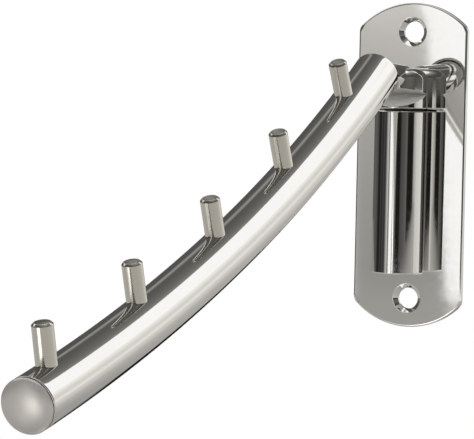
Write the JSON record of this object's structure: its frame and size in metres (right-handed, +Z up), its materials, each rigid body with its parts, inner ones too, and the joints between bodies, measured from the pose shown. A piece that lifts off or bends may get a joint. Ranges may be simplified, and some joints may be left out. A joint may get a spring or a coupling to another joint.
{
  "type": "wall mounted clothes valet",
  "caption": "Wall plate with a hinge barrel that carries a swinging, downward curving steel arm with upright hanger pegs along its top.",
  "frame": {"origin": "middle of the wall plate's back face, where it meets the wall", "axes": "+Z up, +Y into the wall, +X to the right as seen from in front; at rest the arm reaches out from the wall along -Y"},
  "size_m": [0.0494, 0.3252, 0.1484],
  "materials": {
    "polished_steel": "mirror polished stainless steel",
    "brushed_steel": "turned and brushed steel, fine marks around the axis",
    "satin_steel": "fine satin steel, slightly warm grey",
    "black_plastic": "matte black bushing plastic"
  },
  "bodies": {
    "base": {"wall_plate": "polished_steel", "hinge_barrel": "polished_steel", "barrel_weld_left": "brushed_steel", "barrel_weld_right": "brushed_steel", "barrel_foot_plug": "brushed_steel", "lower_bushing": "black_plastic", "upper_bushing": "black_plastic"},
    "arm": {"pivot_pin": "brushed_steel", "knuckle": "polished_steel", "inner_end_plug": "polished_steel", "arm_tube": "polished_steel", "peg_1": "satin_steel", "peg_2": "satin_steel", "peg_3": "satin_steel", "peg_4": "satin_steel", "peg_5": "satin_steel", "tip_cap": "satin_steel"}
  },
  "joints": [
    {"name": "arm_swing", "type": "hinge", "parent": "base", "child": "arm", "pos_m": [0, -0.0143, 0], "axis": [0, 0, 1], "range_deg": [-90, 90]}
  ]
}
